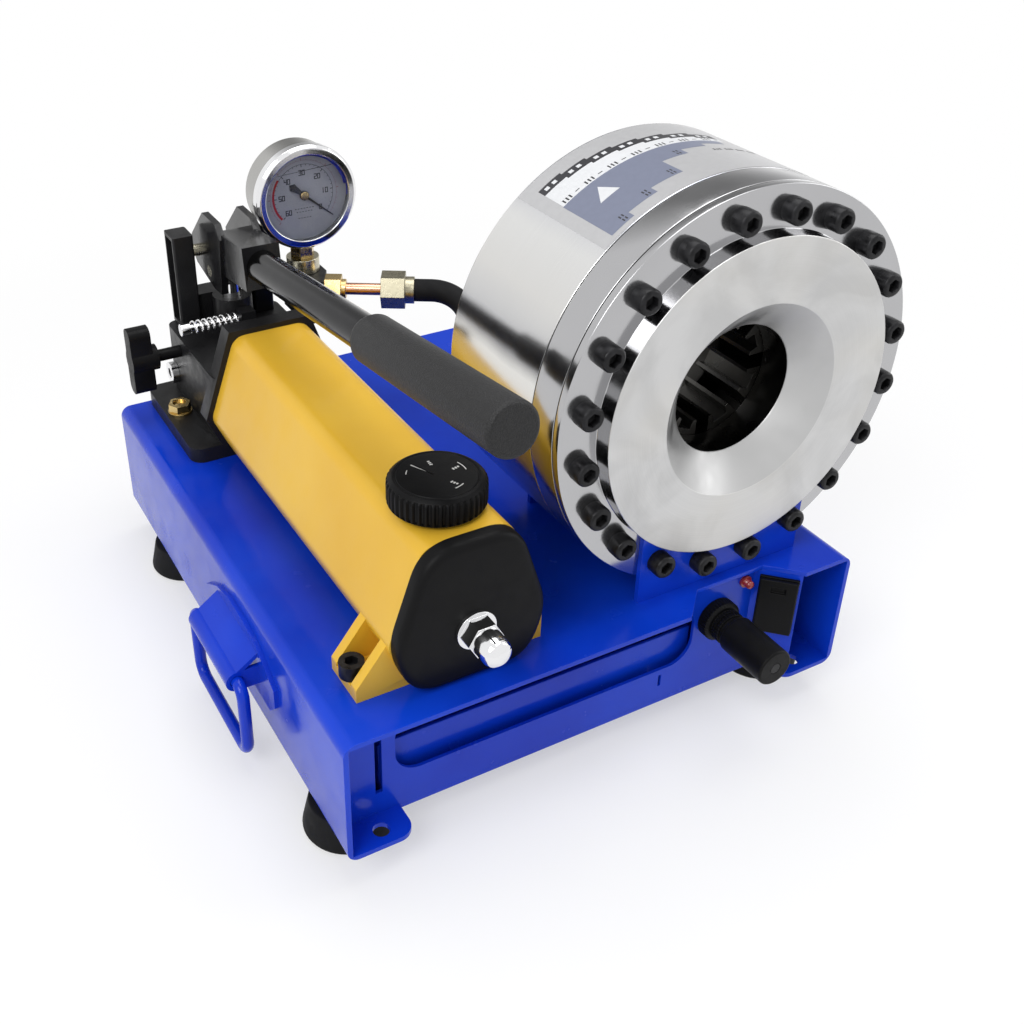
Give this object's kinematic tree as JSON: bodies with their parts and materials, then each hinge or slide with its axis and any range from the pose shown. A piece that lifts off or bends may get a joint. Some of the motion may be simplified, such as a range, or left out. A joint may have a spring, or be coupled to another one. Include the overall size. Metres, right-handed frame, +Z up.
{
  "type": "hose crimping machine",
  "caption": "Bench machine that crimps hose fittings: a round head with radial dies, driven by a hand pump with a long lever and a dial gauge, on a folded steel base.",
  "frame": {"origin": "middle of the base on the surface that the rubber feet stand on", "axes": "+Z up, -Y the front with the crimping mouth and the stop screw, +X the right"},
  "size_m": [0.3739, 0.3975, 0.3236],
  "materials": {
    "blue_paint": "gloss",
    "yellow_paint": "gloss",
    "black_paint": "satin",
    "turned_steel": "bright turned",
    "black_steel": "black oxide",
    "zinc_steel": "zinc plated",
    "polished_steel": "polished",
    "brass": "satin",
    "copper": "drawn",
    "black_rubber": "matte",
    "foam_grip": "matte foam",
    "black_plastic": "satin",
    "dial_face": "matt",
    "clear_window": "clear",
    "red_lens": "clear red"
  },
  "bodies": {
    "frame": {"base_shell": "blue_paint", "front_panel": "blue_paint", "rear_panel": "blue_paint", "die_tray": "blue_paint", "rubber_feet": "black_rubber", "head_plate_front": "blue_paint", "head_plate_rear": "blue_paint", "front_cap": "turned_steel", "drum_shell": "turned_steel", "head_bolts": "black_steel", "port_fitting": "zinc_steel", "outlet_block": "black_paint", "gauge_adapter": "zinc_steel", "outlet_nut": "brass", "outlet_tube": "copper", "hose_nut": "zinc_steel", "hydraulic_hose": "black_rubber", "gauge_case": "polished_steel", "gauge_bezel": "polished_steel", "gauge_dial": "dial_face", "gauge_lens": "clear_window", "reservoir": "yellow_paint", "reservoir_bolt": "black_steel", "end_cap": "black_plastic", "tie_nut": "polished_steel", "pump_head": "black_paint", "pump_head_bolts": "zinc_steel", "pump_links": "black_paint", "link_pins": "zinc_steel", "lock_rod": "polished_steel", "lock_spring": "polished_steel", "head_plug": "polished_steel", "screw_nut": "black_plastic", "screw_barrel": "black_plastic", "indicator_lamp": "red_lens", "battery_box": "black_plastic", "handle_brackets": "blue_paint"},
    "gauge_needle": {"gauge_needle": "black_paint"},
    "pump_lever": {"lever_socket": "black_paint", "plunger_pin": "zinc_steel", "handle_tube": "black_paint", "handle_grip": "foam_grip"},
    "pump_plunger": {"plunger": "polished_steel"},
    "ring_piston": {"ring_piston": "turned_steel"},
    "release_knob": {"release_knob": "black_plastic"},
    "filler_cap": {"filler_cap": "black_plastic"},
    "stop_spindle": {"screw_spindle": "polished_steel"},
    "stop_thimble": {"screw_thimble": "black_plastic"},
    "bail_left": {"bail_left": "blue_paint"},
    "bail_right": {"bail_right": "blue_paint"},
    "battery_drawer": {"battery_drawer": "black_plastic"},
    "die_1": {"die_1": "black_steel"},
    "die_2": {"die_2": "black_steel"},
    "die_3": {"die_3": "black_steel"},
    "die_4": {"die_4": "black_steel"},
    "die_5": {"die_5": "black_steel"},
    "die_6": {"die_6": "black_steel"},
    "die_7": {"die_7": "black_steel"},
    "die_8": {"die_8": "black_steel"}
  },
  "joints": [
    {"name": "lever_hinge", "type": "hinge", "parent": "frame", "child": "pump_lever", "pos_m": [-0.082, 0.175, 0.2045], "axis": [-1, 0, 0], "range_deg": [0, 44]},
    {"name": "plunger_slide", "type": "slide", "parent": "frame", "child": "pump_plunger", "axis": [0, 0, 1], "range_m": [0, 0.0162]},
    {"name": "piston_slide", "type": "slide", "parent": "frame", "child": "ring_piston", "axis": [0, -1, 0], "range_m": [0, 0.021]},
    {"name": "die_1_slide", "type": "slide", "parent": "frame", "child": "die_1", "axis": [-0.3827, 0, -0.9239], "range_m": [0, 0.0101]},
    {"name": "die_2_slide", "type": "slide", "parent": "frame", "child": "die_2", "axis": [-0.9239, 0, -0.3827], "range_m": [0, 0.0101]},
    {"name": "die_3_slide", "type": "slide", "parent": "frame", "child": "die_3", "axis": [-0.9239, 0, 0.3827], "range_m": [0, 0.0101]},
    {"name": "die_4_slide", "type": "slide", "parent": "frame", "child": "die_4", "axis": [-0.3827, 0, 0.9239], "range_m": [0, 0.0101]},
    {"name": "die_5_slide", "type": "slide", "parent": "frame", "child": "die_5", "axis": [0.3827, 0, 0.9239], "range_m": [0, 0.0101]},
    {"name": "die_6_slide", "type": "slide", "parent": "frame", "child": "die_6", "axis": [0.9239, 0, 0.3827], "range_m": [0, 0.0101]},
    {"name": "die_7_slide", "type": "slide", "parent": "frame", "child": "die_7", "axis": [0.9239, 0, -0.3827], "range_m": [0, 0.0101]},
    {"name": "die_8_slide", "type": "slide", "parent": "frame", "child": "die_8", "axis": [0.3827, 0, -0.9239], "range_m": [0, 0.0101]},
    {"name": "release_turn", "type": "hinge", "parent": "frame", "child": "release_knob", "pos_m": [-0.121, 0.156, 0.1445], "axis": [-1, 0, 0], "range_deg": [0, 90]},
    {"name": "filler_turn", "type": "hinge", "parent": "frame", "child": "filler_cap", "pos_m": [-0.082, -0.13, 0.1815], "axis": [0, 0, 1], "range_deg": [0, 90]},
    {"name": "spindle_slide", "type": "slide", "parent": "frame", "child": "stop_spindle", "axis": [0, 1, 0], "range_m": [-0.0025, 0.0025]},
    {"name": "thimble_turn", "type": "hinge", "parent": "stop_spindle", "child": "stop_thimble", "pos_m": [0.081, -0.182, 0.0705], "axis": [0, 1, 0], "range_deg": [-1810, 1810]},
    {"name": "needle_turn", "type": "hinge", "parent": "frame", "child": "gauge_needle", "pos_m": [-0.0328, 0.136, 0.242], "axis": [0, -1, 0], "range_deg": [0, 270], "stiffness_Nm_per_rad": 0.0005},
    {"name": "bail_left_swing", "type": "hinge", "parent": "frame", "child": "bail_left", "pos_m": [-0.175, -0.044, 0.0615], "axis": [0, 1, 0], "range_deg": [-4, 95]},
    {"name": "bail_right_swing", "type": "hinge", "parent": "frame", "child": "bail_right", "pos_m": [0.175, -0.044, 0.0615], "axis": [0, -1, 0], "range_deg": [-4, 95]},
    {"name": "battery_slide", "type": "slide", "parent": "frame", "child": "battery_drawer", "axis": [-0.7071, -0.7071, 0], "range_m": [0, 0.015]}
  ],
  "couplings": [
    {"joint": "plunger_slide", "follows": "lever_hinge", "m_per_rad": 0.020832},
    {"joint": "die_1_slide", "follows": "piston_slide", "ratio": 0.47619},
    {"joint": "die_2_slide", "follows": "piston_slide", "ratio": 0.47619},
    {"joint": "die_3_slide", "follows": "piston_slide", "ratio": 0.47619},
    {"joint": "die_4_slide", "follows": "piston_slide", "ratio": 0.47619},
    {"joint": "die_5_slide", "follows": "piston_slide", "ratio": 0.47619},
    {"joint": "die_6_slide", "follows": "piston_slide", "ratio": 0.47619},
    {"joint": "die_7_slide", "follows": "piston_slide", "ratio": 0.47619},
    {"joint": "die_8_slide", "follows": "piston_slide", "ratio": 0.47619},
    {"joint": "thimble_turn", "follows": "spindle_slide", "rad_per_m": 12566}
  ]
}
